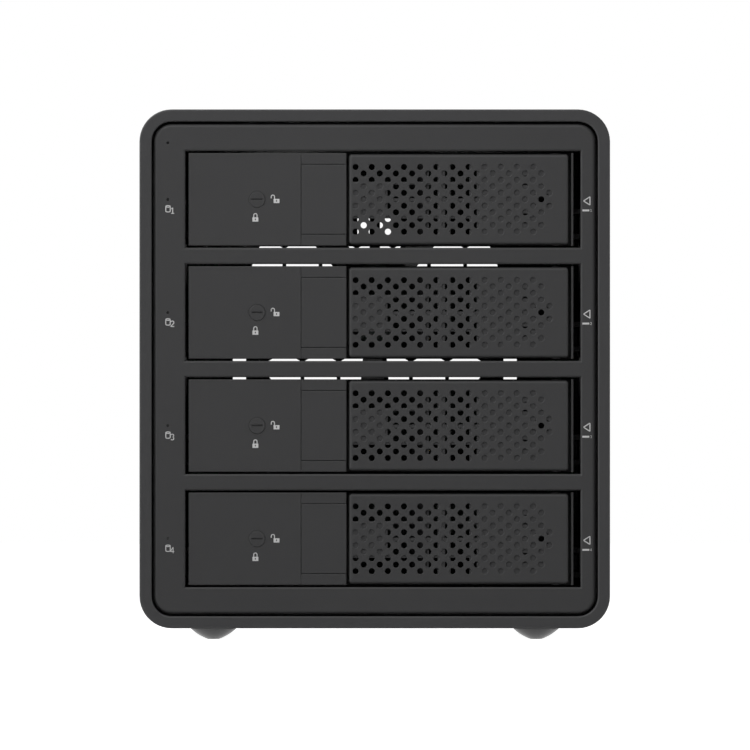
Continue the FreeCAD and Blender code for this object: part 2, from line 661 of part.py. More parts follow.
def feet():
    """Four rubber domes with a small flat below and a stem pushed up into the sleeve."""
    made = []
    for sx in (-1, 1):
        for sy in (-1, 1):
            at = vec(sx * FOOT_X, sy * FOOT_Y, 0)
            flat = vec(FOOT_FLAT_R, 0, 0)
            rim_low = vec(FOOT_R, 0, FOOT_H - 0.3)
            rim_top = vec(FOOT_R, 0, FOOT_H)
            bulge = vec(FOOT_R * 0.68, 0, FOOT_H * 0.42)
            edges = [Part.makeLine(vec(0, 0, 0), flat), Part.Arc(flat, bulge, rim_low).toShape(),
                     Part.makeLine(rim_low, rim_top), Part.makeLine(rim_top, vec(0, 0, FOOT_H)),
                     Part.makeLine(vec(0, 0, FOOT_H), vec(0, 0, 0))]
            dome = Part.Face(Part.Wire(edges)).revolve(vec(0, 0, 0), vec(0, 0, 1), 360)
            stem = rod("z", 2.0, (0, 0, FOOT_H - 0.5), WALL + 1.2)
            foot = fuse([dome, stem])
            foot.translate(at)
            made.append(foot)
    return Part.makeCompound(made)


# ---- one drive tray and what it carries ---------------------------------------
def tray(mid):
    """The drive carrier: a windowed floor, two side walls with runners, and front tabs."""
    out = TRAY_WALL_OUT
    base_z = mid - FACE_HALF
    floor_z = mid - TRAY_FLOOR_DROP
    floor = box(BAY_X - out, BAY_X + out, FACE_BACK_Y, TRAY_BACK_Y, floor_z, floor_z + TRAY_FLOOR_T)
    pieces = [floor]
    tools = []
    for side in (-1, 1):
        w0, w1 = sorted((BAY_X + side * (out - TRAY_WALL_T), BAY_X + side * out))
        pieces.append(box(w0, w1, FACE_BACK_Y, TRAY_BACK_Y, base_z, mid + 4.0))
        r0, r1 = sorted((BAY_X + side * (out - 0.5), BAY_X + side * RUNNER_OUT))
        pieces.append(box(r0, r1, RUNNER_FRONT_Y, TRAY_BACK_Y, mid + RUNNER_Z[0], mid + RUNNER_Z[1]))
        for k in range(3):
            y = -66.0 + 42.0 * k
            tools.append(box(w0 - 1, w1 + 1, y - 15.0, y + 15.0, mid - 3.0, mid + 2.0))
        for y in DRIVE_SCREW_Y:
            tools.append(rod("z", DRIVE_SCREW_R, (BAY_X + side * DRIVE_SCREW_X, y, floor_z - 1), 3))
    for x0, x1 in ((BAY_X - out + 1, -27.0), (35.0, BAY_X + out - 1)):
        pieces.append(box(x0, x1, FACE_BACK_Y, FACE_BACK_Y + 1.5, floor_z, mid + 4.0))
    for y0, y1 in TRAY_WINDOWS_Y:
        tools.append(rounded_box(BAY_X - 40.0, BAY_X + 40.0, y0, y1, floor_z - 1, floor_z + 2, 4.0, 2))
    return cut(fuse(pieces), tools)


def tray_face(mid):
    """The front moulding: lock block on the left, open frame and hinge arms on the right."""
    half = FACE_HALF
    z0 = mid - half
    z1 = mid + half
    frame = box(FACE_X0, FACE_X1, FRAME_Y, FACE_BACK_Y, z0, z1)
    window = box(-5.0, 30.5, FRAME_Y - 1, FACE_BACK_Y + 1, mid - 11.2, mid + 11.2)
    left_vent = box(-46.0, -26.0, FRAME_Y - 1, FACE_BACK_Y + 1, mid - 11.2, mid + 11.2)
    back = cut(frame, [window, left_vent])
    upright = box(WEDGE_X[0], WEDGE_X[1], FRAME_Y, FACE_BACK_Y, mid - 11.5, mid + 11.5)
    plate = box(FACE_X0, BUTTON_X1, FACE_Y, FACE_Y + 2.5, z0, z1)
    plate = plate.makeFillet(0.3, edges_at(plate, 1, FACE_Y))
    walls = [box(FACE_X0, FACE_X0 + 2.0, FACE_Y + 1.0, FACE_BACK_Y, z0, z1),
             box(FACE_X0, BUTTON_X1, FACE_Y + 1.0, FACE_BACK_Y, z1 - 1.5, z1),
             box(FACE_X0, BUTTON_X1, FACE_Y + 1.0, FACE_BACK_Y, z0, z0 + 1.5),
             box(BUTTON_X0 - 1.35, BUTTON_X0, FACE_Y + 1.0, FACE_BACK_Y, z0, z1)]
    boss = rod("y", 4.0, (LOCK_X, FACE_Y + 2.0, mid), 2.2)
    rim = box(FACE_X1 - RIM_W, FACE_X1, FACE_Y + 0.3, FACE_BACK_Y, z0, z1)
    rim = rim.makeChamfer(0.25, [e for e in edges_along(rim, 2) if e.Vertexes[0].Point[1] < FACE_Y + 1])
    arms = []
    for a0, a1 in ((mid + 10.5, z1), (z0, mid - 10.5)):
        arms.append(rod("z", ARM_R, (PIN_X, PIN_Y, a0), a1 - a0))
        arms.append(box(PIN_X - ARM_R, PIN_X - 0.1, PIN_Y, FRAME_Y + 0.5, a0, a1))
    body = fuse([back, upright, plate, boss, rim] + walls + arms)
    pocket = box(BUTTON_X0, BUTTON_X1 + 1, FACE_Y - 1, FACE_Y + 3.0, mid - BUTTON_HALF, mid + BUTTON_HALF)
    tab_slot = box(BUTTON_X0 - 2, BUTTON_X0 + 0.5, FACE_Y + 2.4, -103.0, mid - 2.6, mid + 2.6)
    seam_cut = box(BUTTON_X0, BUTTON_X0 + SEAM, FACE_Y - 1, FACE_Y + 0.5, z0 - 1, z1 + 1)
    lock_hole = rod("y", LOCK_R + LOCK_GAP, (LOCK_X, FACE_Y - 1, mid), 6.0)
    pins = rod("z", PIN_R, (PIN_X, PIN_Y, z0 + 0.2), 2 * half - 0.4)
    return cut(body, [pocket, tab_slot, seam_cut, lock_hole, pins])


def handle_holes(mid):
    """Staggered round holes: even columns have six, odd columns five, the last column two."""
    holes = []
    for n in range(HOLE_COLUMNS):
        rows = (-4, -2, 0, 2, 4) if n % 2 else (-5, -3, -1, 1, 3, 5)
        if n == HOLE_COLUMNS - 1:
            rows = (-1, 1)
        for row in rows:
            place = (HOLE_X0 + HOLE_DX * n, FACE_Y - 1, mid + HOLE_DZ * row)
            holes.append(rod("y", HOLE_R, place, HANDLE_T + 1.2))
    return holes


def handle(mid):
    """The swing handle: a perforated plate with ribs, turned-in lips and two hinge knuckles."""
    h = HANDLE_HALF
    z0 = mid - h
    z1 = mid + h
    plate = box(HANDLE_X0, HANDLE_X1, FACE_Y, FACE_Y + HANDLE_T, z0, z1)
    plate = plate.makeFillet(0.5, [e for e in edges_at(plate, 1, FACE_Y) if e.BoundBox.XMin > PIN_X])
    corner_edges = [e for e in edges_along(plate, 1) if e.Vertexes[0].Point[0] < 0]
    plate = plate.makeFillet(1.0, corner_edges)
    front_edges = [e for e in edges_at(plate, 1, FACE_Y) if e.BoundBox.XMin < PIN_X]
    plate = plate.makeFillet(0.95, front_edges)
    plate = cut(plate, handle_holes(mid))
    lip_t = 1.2
    back = FACE_Y + HANDLE_T
    lips = [box(HANDLE_X0 + 0.6, 44.0, back - 0.4, -104.5, z1 - lip_t, z1 - 0.2),
            box(HANDLE_X0 + 0.6, 44.0, back - 0.4, -104.5, z0 + 0.2, z0 + lip_t),
            box(HANDLE_X0 + 0.2, HANDLE_X0 + 1.1, back - 0.4, -104.5, z0 + 0.6, z1 - 0.6)]
    front = FACE_Y + RIB_DEPTH
    stiffener = fuse([box(29.5, 49.4, front, FACE_Y + 2.0, z0 + 1.2, z1 - 1.2),
                      box(49.3, 51.6, front, FACE_Y + 2.0, mid - 10.0, mid + 10.0)])
    notches = [box(46.3, 50.2, front - 1, FACE_Y + 3, mid - 1.55, mid + 1.55),
               box(42.4, 44.6, front - 1, FACE_Y + 3, mid + 4.1, mid + 6.85),
               box(42.4, 44.6, front - 1, FACE_Y + 3, mid - 6.85, mid - 4.1)]
    knuckles = [rod("z", KNUCKLE_R, (PIN_X, PIN_Y, mid + 3.0), 7.0),
                rod("z", KNUCKLE_R, (PIN_X, PIN_Y, mid - 10.0), 7.0)]
    pad = box(PAD_X[0], PAD_X[1], front, FACE_Y + 2.0, mid + PAD_Z[0], mid + PAD_Z[1])
    ribs = [box(PAD_X[0], 30.0, front, RIB_BACK_Y, mid + r0, mid + r1) for r0, r1 in RIBS_Z]
    ribs += [box(r0, r1, front, RIB_BACK_Y, z0 + 1.0, z1 - 1.0) for r0, r1 in RIBS_X]
    wedge = extrude_xy([(WEDGE_X[1], front), (WEDGE_X[1], RIB_BACK_Y), (WEDGE_X[0], RIB_BACK_Y),
                        (WEDGE_X[0], FACE_Y + 3.0)], z0 + 1.0, z1 - 1.0)
    nub = box(HANDLE_X0 + 0.6, HANDLE_X0 + 2.0, -104.5, -103.2, mid - 3.0, mid + 3.0)
    body = fuse([plate, cut(stiffener, notches), nub, pad, wedge] + knuckles + lips + ribs)
    return cut(body, [rod("z", PIN_R + 0.07, (PIN_X, PIN_Y, z0), 2 * h)])


def handle_pin(mid):
    return rod("z", PIN_R, (PIN_X, PIN_Y, mid - FACE_HALF + 0.2), 2 * FACE_HALF - 0.4)


def release_button(mid):
    """The push button: a face plate, a lock tab, a guide block and two moulded spring legs."""
    half = BUTTON_HALF - SEAM
    x0 = BUTTON_X0 + SEAM
    plate = box(x0, BUTTON_X1, FACE_Y, FACE_Y + 2.3, mid - half, mid + half)
    plate = plate.makeFillet(0.15, edges_at(plate, 1, FACE_Y))
    back = FACE_Y + 2.3
    block = box(x0 + 4.0, x0 + 9.0, back - 0.5, -103.4, mid - 4.0, mid + 4.0)
    tab = box(x0 - 3.6, x0 + 5.0, -106.4, -105.2, mid - 2.0, mid + 2.0)
    post = box(x0 + 2.0, x0 + 5.0, back - 0.5, -105.2, mid - 2.0, mid + 2.0)
    legs = []
    for dz in (-8.0, 6.8):
        outline = [(x0 + 1.0, back - 0.2), (x0 + 2.2, back - 0.2), (x0 + 10.0, -103.8), (x0 + 10.0, -103.2),
                   (x0 + 9.0, -103.2)]
        legs.append(extrude_xy(outline, mid + dz, mid + dz + 1.2))
    return fuse([plate, block, tab, post] + legs)


def lock_core(mid):
    """The turning lock with a coin slot across its face."""
    core = rod("y", LOCK_R, (LOCK_X, FACE_Y - 0.15, mid), 7.3)
    core = core.makeFillet(0.12, edges_at(core, 1, FACE_Y - 0.15))
    slot = box(LOCK_X - 1.6, LOCK_X + 1.6, FACE_Y - 1, FACE_Y + 0.15, mid - 0.25, mid + 0.25)
    return cut(core, [slot])


def lock_cam(mid):
    """The cam on the lock's back end: upright when open, across behind the button when locked."""
    hub = rod("y", 3.6, (LOCK_X, -103.5, mid), 1.5)
    arm = box(LOCK_X - 2.4, LOCK_X + 2.4, -103.5, -102.0, mid, mid + 10.8)
    return cut(fuse([hub, arm]), [rod("y", LOCK_R, (LOCK_X, -105, mid), 4)])


# ---- build ---------------------------------------------------------------------
def build():
    os.makedirs("parts", exist_ok=True)
    single = {
        "outer_sleeve": outer_sleeve, "front_bezel": front_bezel, "light_pipes": light_pipes,
        "led_board": led_board, "bezel_screws": bezel_screws, "cage_top": cage_top,
        "cage_bottom": cage_bottom, "cage_spacers": cage_spacers, "cage_screws": cage_screws,
        "cage_rivets": cage_rivets, "tray_guides": tray_guides, "backplane_board": backplane_board,
        "backplane_screws": backplane_screws, "drive_connectors": drive_connectors,
        "bridge_board": bridge_board, "board_standoffs": board_standoffs, "board_screws": board_screws,
        "board_link": board_link, "usb_socket": usb_socket, "dc_socket": dc_socket,
        "switch_housing": switch_housing, "switch_rocker": switch_rocker, "rear_panel": rear_panel,
        "rear_screws": rear_screws, "fan_frame": fan_frame, "fan_rotor": fan_rotor,
        "fan_shaft": fan_shaft, "fan_screws": fan_screws, "feet": feet,
    }
    for name, make in single.items():
        export(name, make())
    export("cage_left", cage_side(-1))
    export("cage_right", cage_side(1))
    in_each_bay = {
        "tray": tray, "tray_face": tray_face, "handle": handle, "handle_pin": handle_pin,
        "release_button": release_button, "lock_core": lock_core, "lock_cam": lock_cam,
    }
    for i in range(BAYS):
        for name, make in in_each_bay.items():
            export("%s_%d" % (name, i + 1), make(bay_centre(i)))


build()
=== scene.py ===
# %% [markdown]
# # A four-bay network storage enclosure
# The real object is a dark anodised aluminium sleeve with a moulded plastic front. Four drive trays
# slide out of it, each behind a perforated swing handle. The hard shapes arrive as a fixed frame, so
# this lesson gives every piece its finish, adds the printed marks and the small parts on the circuit
# boards, and sets the light and the camera.

# %% Load the frame
import bmesh
import bpy
import math
import numpy as np
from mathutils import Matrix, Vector


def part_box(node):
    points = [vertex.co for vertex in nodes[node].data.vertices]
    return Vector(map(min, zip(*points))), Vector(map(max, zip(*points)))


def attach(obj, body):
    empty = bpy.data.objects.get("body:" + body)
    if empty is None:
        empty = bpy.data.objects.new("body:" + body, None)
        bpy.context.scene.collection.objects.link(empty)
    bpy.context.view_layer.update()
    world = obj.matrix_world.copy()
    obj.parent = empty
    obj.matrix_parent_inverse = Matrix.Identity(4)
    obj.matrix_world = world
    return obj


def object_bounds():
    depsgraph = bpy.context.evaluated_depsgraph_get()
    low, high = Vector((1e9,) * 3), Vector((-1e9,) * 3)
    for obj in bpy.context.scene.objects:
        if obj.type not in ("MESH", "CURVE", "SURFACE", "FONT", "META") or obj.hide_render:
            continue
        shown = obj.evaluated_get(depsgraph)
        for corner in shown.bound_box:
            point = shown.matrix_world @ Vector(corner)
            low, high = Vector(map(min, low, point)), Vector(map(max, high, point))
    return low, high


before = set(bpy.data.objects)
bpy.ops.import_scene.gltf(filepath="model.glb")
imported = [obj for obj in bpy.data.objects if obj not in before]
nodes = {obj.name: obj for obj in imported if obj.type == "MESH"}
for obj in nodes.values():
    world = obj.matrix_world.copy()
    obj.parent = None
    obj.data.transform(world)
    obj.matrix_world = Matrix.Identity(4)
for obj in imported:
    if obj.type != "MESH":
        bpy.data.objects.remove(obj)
cad_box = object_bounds()
MM = 0.001
bay_numbers = range(1, 5)
size_mm = [round((b - a) / MM, 1) for a, b in zip(*cad_box)]
print("nodes", len(nodes), "size in mm", size_mm)

# %% [markdown]
# ## Where things are
# Where it can, a place comes from the box of one of the frame's own nodes. The rest are distances in
# millimetres, named where they are first used. The front faces look towards -Y, and `front(node)` is the
# y of a node's front face.

# %% Places read from the frame
def corners(node):
    """The lowest and highest corner of a node, in metres, as two arrays."""
    low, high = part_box(node)
    return np.array(low), np.array(high)


def front(node):
    return corners(node)[0][1]


def middle(node):
    low, high = corners(node)
    return (low + high) / 2


bezel_front = front("front_bezel")
face_front = front("tray_face_1")
lock_at = {n: middle("lock_core_%d" % n) for n in bay_numbers}
led_x = middle("light_pipes")[0]
print("bezel front %.2f mm, tray front %.2f mm" % (bezel_front / MM, face_front / MM))

# %% [markdown]
# ## Finishes
# Most of this object is one dark grey, so the eye tells the pieces apart by their grain. Each finish is
# a Principled shader with three layers of detail: a slow cloud of colour, a fine grain that changes the
# roughness, and a bump from the same grain. A soft edge, found by comparing the true normal with a
# rounded one, is painted a little lighter: partly wear where hands and sleeves rub it, and partly a
# painted highlight along the rounded edges. It is made with nodes and not with pictures, because a
# pattern on Object coordinates has a true size on every piece.

# %% A helper that wires the shared layers
def noise(tree, coords, scale, detail=3.0, rough=0.55):
    """A noise texture whose features are about 1/scale metres across."""
    node = tree.nodes.new("ShaderNodeTexNoise")
    node.inputs["Scale"].default_value = scale
    node.inputs["Detail"].default_value = detail
    node.inputs["Roughness"].default_value = rough
    tree.links.new(coords, node.inputs["Vector"])
    return node.outputs["Fac"]


def ramp(tree, value, low, high, start=0.35, end=0.65):
    """Maps a 0..1 value to the range low..high, linear between start and end."""
    node = tree.nodes.new("ShaderNodeMapRange")
    for name, number in (("From Min", start), ("From Max", end), ("To Min", low), ("To Max", high)):
        node.inputs[name].default_value = number
    tree.links.new(value, node.inputs["Value"])
    return node.outputs["Result"]


def mix(tree, factor, colour_a, colour_b):
    """Blends two colours, each a tuple or another node's output."""
    node = tree.nodes.new("ShaderNodeMix")
    node.data_type = "RGBA"
    tree.links.new(factor, node.inputs[0])
    for socket, colour in ((node.inputs[6], colour_a), (node.inputs[7], colour_b)):
        if isinstance(colour, tuple):
            socket.default_value = colour + (1.0,)
        else:
            tree.links.new(colour, socket)
    return node.outputs[2]


def edge_wear_and_highlight_mask(tree, radius):
    """1 on edges and 0 on flats, from the dot product of the rounded and the true normal.

    It falls from 1 to 0 as the product rises from 0.80 to 0.995. The rounded normal is given too."""
    bevel = tree.nodes.new("ShaderNodeBevel")
    bevel.samples = 4
    bevel.inputs["Radius"].default_value = radius
    geometry = tree.nodes.new("ShaderNodeNewGeometry")
    dot = tree.nodes.new("ShaderNodeVectorMath")
    dot.operation = "DOT_PRODUCT"
    tree.links.new(bevel.outputs["Normal"], dot.inputs[0])
    tree.links.new(geometry.outputs["Normal"], dot.inputs[1])
    return ramp(tree, dot.outputs["Value"], 1.0, 0.0, 0.80, 0.995), bevel.outputs["Normal"]


def scaled(colour, factor):
    return tuple(min(1.0, c * factor) for c in colour)


def finish(name, colour, roughness, grain, bump=0.15, metallic=0.0, cloud=12.0, spread=0.06,
           edge=0.0, edge_radius=0.0003, **sockets):
    """A finish: colour cloud, grain in roughness and bump, and edges painted lighter as wear and as a
    highlight.

    grain is the grain's size in metres, spread the share by which the colour wanders,
    and edge the share by which an edge is painted lighter, for wear and for a painted highlight."""
    made = bpy.data.materials.new(name)
    made.use_nodes = True
    tree = made.node_tree
    shader = tree.nodes["Principled BSDF"]
    coords = tree.nodes.new("ShaderNodeTexCoord").outputs["Object"]
    slow = noise(tree, coords, cloud)
    fine = noise(tree, coords, 1.0 / grain, 2.0)
    body = mix(tree, ramp(tree, slow, 0.0, 1.0), scaled(colour, 1 - spread), scaled(colour, 1 + spread))
    body = mix(tree, ramp(tree, fine, 0.0, 0.5), body, scaled(colour, 1 + 3 * spread))
    normal = None
    if edge:
        mask, normal = edge_wear_and_highlight_mask(tree, edge_radius)
        # Edges are painted lighter here: partly rubbed wear, partly a painted highlight along the
        # rounded edges.
        body = mix(tree, mask, body, scaled(colour, 1 + edge))
    tree.links.new(body, shader.inputs["Base Color"])
    smoother, rougher = roughness * 0.88, min(1.0, roughness * 1.12)
    tree.links.new(ramp(tree, fine, smoother, rougher), shader.inputs["Roughness"])
    lift = tree.nodes.new("ShaderNodeBump")
    lift.inputs["Strength"].default_value = bump
    lift.inputs["Distance"].default_value = grain * 0.4
    tree.links.new(fine, lift.inputs["Height"])
    if normal:
        tree.links.new(normal, lift.inputs["Normal"])
    tree.links.new(lift.outputs["Normal"], shader.inputs["Normal"])
    shader.inputs["Metallic"].default_value = metallic
    for socket, value in sockets.items():
        shader.inputs[socket.replace("_", " ")].default_value = value
    return made


def dress(material, *names):
    """Gives a finish to CAD nodes through their material slots."""
    for name in names:
        item = nodes[name]
        if not item.material_slots:
            item.data.materials.append(material)
        for slot in item.material_slots:
            slot.material = material


def in_bays(*stems):
    return ["%s_%d" % (stem, n) for stem in stems for n in bay_numbers]


# %% [markdown]
# ### The sleeve
# The sleeve is extruded, blasted with fine glass beads and anodised dark grey. Blasting leaves grain of
# about a fifth of a millimetre, and the oxide layer is hard and satin. A metal shader this dark would
# mirror the room in streaks, so the coat does most of the work: barely metallic, and quite rough.

# %% Anodised aluminium
anodised = finish("bead blasted anodised aluminium", (0.046, 0.046, 0.0474), 0.50, 0.00022, bump=0.22,
                  metallic=0.15, cloud=9.0, spread=0.05, edge=0.9, edge_radius=0.0004,
                  Specular_IOR_Level=0.25)
dress(anodised, "outer_sleeve")

# %% [markdown]
# ### The moulded front
# Bezel, tray fronts, handles and buttons are one ABS moulding colour. The mould is spark-eroded, so
# the plastic carries a fine, even texture that scatters light and hides finger marks.

# %% Textured plastic
front_plastic = finish("spark textured plastic", (0.0395, 0.0395, 0.0405), 0.60, 0.00035, bump=0.20,
                       cloud=14.0, spread=0.05, edge=0.8, edge_radius=0.0003, Specular_IOR_Level=0.25)
dress(front_plastic, "front_bezel", *in_bays("tray_face", "handle", "release_button"))
lock_plastic = finish("lock face", (0.0395, 0.0395, 0.0405), 0.58, 0.0003, bump=0.15, edge=0.7,
                      edge_radius=0.0002, Specular_IOR_Level=0.25)
dress(lock_plastic, *in_bays("lock_core"))

# %% [markdown]
# ### Inner plastic, steel and circuit boards
# The inside is meant to be dark. Trays and guides are satin black nylon with a faint flow pattern,
# and the cage is steel sheet with a thin black dip coat that lets a little of the zinc through.

# %% Inner finishes
nylon = finish("glass filled nylon", (0.013, 0.013, 0.0135), 0.55, 0.0005, bump=0.25, cloud=20.0,
               spread=0.15, edge=0.8)
dress(nylon, "tray_guides", "fan_frame", "fan_rotor", "switch_housing", "dc_socket", "board_link",
      "drive_connectors", *in_bays("tray"))
dip_coat = finish("dip coated steel", (0.022, 0.022, 0.023), 0.45, 0.0006, bump=0.10, metallic=0.4,
                  cloud=25.0, spread=0.15, edge=2.5, edge_radius=0.0003)
dress(dip_coat, "cage_left", "cage_right", "cage_top", "cage_bottom", *in_bays("lock_cam"))
powder = finish("powder coated steel", (0.040, 0.040, 0.0415), 0.58, 0.0004, bump=0.35, cloud=10.0,
                spread=0.06, edge=0.8)
dress(powder, "rear_panel")
rocker_black = finish("polished switch plastic", (0.012, 0.012, 0.013), 0.22, 0.0008, bump=0.03,
                      edge=1.0)
dress(rocker_black, "switch_rocker")
zinc = finish("bright zinc", (0.55, 0.56, 0.55), 0.28, 0.0006, bump=0.06, metallic=1.0, spread=0.08)
dress(zinc, "bezel_screws", "backplane_screws", "board_screws")
black_oxide = finish("black oxide steel", (0.020, 0.020, 0.022), 0.38, 0.0004, bump=0.12, metallic=0.8,
                     spread=0.15, edge=3.0, edge_radius=0.0002)
dress(black_oxide, "rear_screws", "fan_screws", "cage_screws")
turned = finish("turned aluminium", (0.66, 0.66, 0.68), 0.32, 0.0005, bump=0.08, metallic=1.0,
                spread=0.06)
dress(turned, "cage_spacers", "cage_rivets")
turned_brass = finish("turned brass", (0.62, 0.42, 0.16), 0.30, 0.0005, bump=0.08, metallic=1.0,
                      spread=0.10)
dress(turned_brass, "board_standoffs")
nickel = finish("nickel plate", (0.58, 0.57, 0.54), 0.22, 0.0005, bump=0.05, metallic=1.0, spread=0.05)
dress(nickel, "usb_socket", "fan_shaft", *in_bays("handle_pin"))
lens = finish("clear lamp tip", (0.004, 0.004, 0.0045), 0.15, 0.0004, bump=0.02, spread=0.1)
dress(lens, "light_pipes")

# %% [markdown]
# ### Rubber feet
# The feet are moulded rubber: smooth enough to pick up the pale floor under them, with a weak sheen
# where the light grazes.

# %% Rubber
rubber = finish("foot rubber", (0.085, 0.085, 0.088), 0.22, 0.0003, bump=0.08, spread=0.10,
                Sheen_Weight=0.2)
dress(rubber, "feet")

# %% [markdown]
# ### Circuit boards
# Solder mask is a green lacquer over copper. Copper tracks show through it as slightly lighter
# lines, and that is a brick pattern here: long cells, in rows one millimetre apart.

# %% Solder mask
def solder_mask():
    """A green board: the shared finish, with long track cells from a brick texture mixed in."""
    made = finish("green solder mask", (0.010, 0.055, 0.022), 0.30, 0.0006, bump=0.04, spread=0.12)
    tree = made.node_tree
    shader = tree.nodes["Principled BSDF"]
    old = shader.inputs["Base Color"].links[0].from_socket
    tracks = tree.nodes.new("ShaderNodeTexBrick")
    tracks.inputs["Scale"].default_value = 160.0
    tracks.inputs["Mortar Size"].default_value = 0.06
    tracks.inputs["Brick Width"].default_value = 3.0
    tracks.inputs["Row Height"].default_value = 0.16
    tree.links.new(tree.nodes["Texture Coordinate"].outputs["Object"], tracks.inputs["Vector"])
    both = mix(tree, ramp(tree, tracks.outputs["Fac"], 0.0, 0.45, 0.0, 1.0), old, (0.03, 0.13, 0.05))
    tree.links.new(both, shader.inputs["Base Color"])
    return made


dress(solder_mask(), "backplane_board", "bridge_board", "led_board")
print("finishes", len(bpy.data.materials))

# %% [markdown]
# ## Surfaces from arrays
# New pieces are worked out as whole arrays. `strip` carries a flat line of ink along a path, and
# `prisms` stands many little chamfered blocks on a board at once.

# %% Mesh helpers
def piece(name, points, faces, body, material, slot):
    """A mesh object from an array of points and a list of faces, riding on a body."""
    mesh = bpy.data.meshes.new(name)
    mesh.from_pydata([tuple(p) for p in np.asarray(points, float)], [], [tuple(f) for f in faces])
    mesh.validate()
    mesh.materials.append(material)
    made = bpy.data.objects.new(name, mesh)
    bpy.context.scene.collection.objects.link(made)
    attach(made, body)
    return made


def strip(path, width, y, lift):
    """Ink along a path in X and Z: points = path +/- normal x width/2, at the front y - lift and at y.

    The section is a flat trapezium of four points, joined along the path and closed at both ends."""
    path = np.asarray(path, float)
    run = np.gradient(path, axis=0)
    run /= np.linalg.norm(run, axis=1, keepdims=True)
    normal = np.stack([-run[:, 1], run[:, 0]], axis=1)
    offsets = np.array([-0.5, -0.42, 0.42, 0.5]) * width
    depth = np.array([y, y - lift, y - lift, y])
    across = path[:, None, :] + normal[:, None, :] * offsets[None, :, None]
    deep = np.broadcast_to(depth, across.shape[:2])
    points = np.stack([across[..., 0], deep, across[..., 1]], axis=-1)
    count = len(path)
    i, j = np.meshgrid(np.arange(count - 1), np.arange(4), indexing="ij")
    a = (i * 4 + j).ravel()
    b = (i * 4 + (j + 1) % 4).ravel()
    quads = np.stack([a, b, b + 4, a + 4], axis=1).tolist()
    ends = [[3, 2, 1, 0], [4 * count - 4, 4 * count - 3, 4 * count - 2, 4 * count - 1]]
    return points.reshape(-1, 3), quads + ends


def gather(parts):
    """Joins several (points, faces) pairs into one, moving the face numbers along."""
    points = []
    faces = []
    start = 0
    for part_points, part_faces in parts:
        points.append(part_points)
        faces += [[index + start for index in face] for face in part_faces]
        start += len(part_points)
    return np.concatenate(points), faces


def outward(made):
    """Turns every shell's faces outwards."""
    work = bmesh.new()
    work.from_mesh(made.data)
    bmesh.ops.recalc_face_normals(work, faces=work.faces)
    work.to_mesh(made.data)
    work.free()
    return made


def line(start, end, count=5):
    return np.linspace(start, end, count)


def arc(centre, radius, first, last, count=13):
    """Points on a circle from one angle to the other, in degrees, 0 to the right."""
    angle = np.radians(np.linspace(first, last, count))
    return np.stack([centre[0] + radius * np.cos(angle), centre[1] + radius * np.sin(angle)], axis=1)


# %% [markdown]
# ## The printed marks
# The front carries small pale marks in screen ink: an open and a closed padlock round each lock, a
# drive symbol and a number by each lamp, and an arrow on the hinge side. They are 0.03 mm thick, which
# is a generous coat of ink, and start just inside the face so that no gap shows. The strokes are arcs
# and lines in millimetres about the mark's own centre.

# %% Ink and its strokes
ink = finish("pale screen ink", (0.62, 0.62, 0.62), 0.6, 0.0002, bump=0.05, spread=0.05)
INK_LIFT = 0.03 * MM
INK_SINK = 0.004 * MM


def padlock(is_open):
    """A padlock: a block with a keyhole between its strokes, and a shackle: an arc on two legs."""
    body = [(line((-0.85, -0.62), (-0.15, -0.62)), 1.25), (line((0.15, -0.62), (0.85, -0.62)), 1.25),
            (line((-0.15, -0.17), (0.15, -0.17)), 0.34), (line((-0.15, -1.03), (0.15, -1.03)), 0.42)]
    shift = -1.05 if is_open else 0.0
    left = line((-0.48 + shift, 0.15 if is_open else -0.1), (-0.48 + shift, 0.62), 4)
    bow = arc((shift, 0.62), 0.48, 180, 0)
    right = line((0.48 + shift, 0.62), (0.48 + shift, -0.1), 4)
    return body + [(np.concatenate([left, bow[1:-1], right]), 0.26)]


def digit(number):
    """A figure from 1 to 4, about 1.7 mm tall, as a few strokes."""
    if number == 1:
        return [(line((-0.35, 0.55), (0.1, 0.85), 4), 0.24), (line((0.1, 0.9), (0.1, -0.63)), 0.26),
                (line((-0.38, -0.74), (0.52, -0.74)), 0.24)]
    if number == 2:
        top = arc((0.0, 0.40), 0.45, 160, -40)
        return [(np.concatenate([top, line((0.2, -0.05), (-0.5, -0.74), 5)]), 0.24),
                (line((-0.55, -0.74), (0.55, -0.74)), 0.24)]
    if number == 3:
        return [(arc((-0.02, 0.42), 0.42, 150, -90), 0.24), (arc((-0.02, -0.40), 0.44, 90, -150), 0.24)]
    return [(line((0.22, 0.9), (0.22, -0.85)), 0.24), (line((0.22, 0.88), (-0.55, -0.35), 5), 0.22),
            (line((-0.6, -0.38), (0.55, -0.38)), 0.22)]


def drive_symbol():
    """A small cylinder seen from the side: a flat ring, two sides and a bowed foot, in heavy strokes."""
    ring = arc((0.0, 0.0), 1.0, 0, 360, 25) * np.array([0.64, 0.22]) + np.array([0.0, 0.72])
    foot = arc((0.0, 0.0), 1.0, 180, 360, 13) * np.array([0.64, 0.24]) + np.array([0.0, -0.66])
    sides = [line((x, 0.72), (x, -0.66)) for x in (-0.64, 0.64)]
    return [(path, 0.26) for path in [ring, foot] + sides]


def arrow(number):
    """A hollow arrowhead pointing left, with a short bar and the bay's small figure under it."""
    tip, top, low = (-1.0, 0.0), (0.85, 1.2), (0.85, -1.2)
    sides = [line(tip, top), line(top, low), line(low, tip)]
    figure = [(path * 0.42 + np.array([1.15, -2.75]), width * 0.42) for path, width in digit(number)]
    return [(path, 0.30) for path in sides] + [(line((-1.35, -2.75), (0.65, -2.75)), 0.55)] + figure


def print_marks(name, marks, body):
    """Lays a list of (strokes, x, y, z) marks, in metres, as one piece of ink."""
    parts = []
    for strokes, x, y, z in marks:
        for path, width in strokes:
            parts.append(strip(path * MM + np.array([x, z]), width * MM, y + INK_SINK, INK_LIFT))
    outward(piece(name, *gather(parts), body, ink, "pale_ink"))
    print(name, len(parts), "strokes")


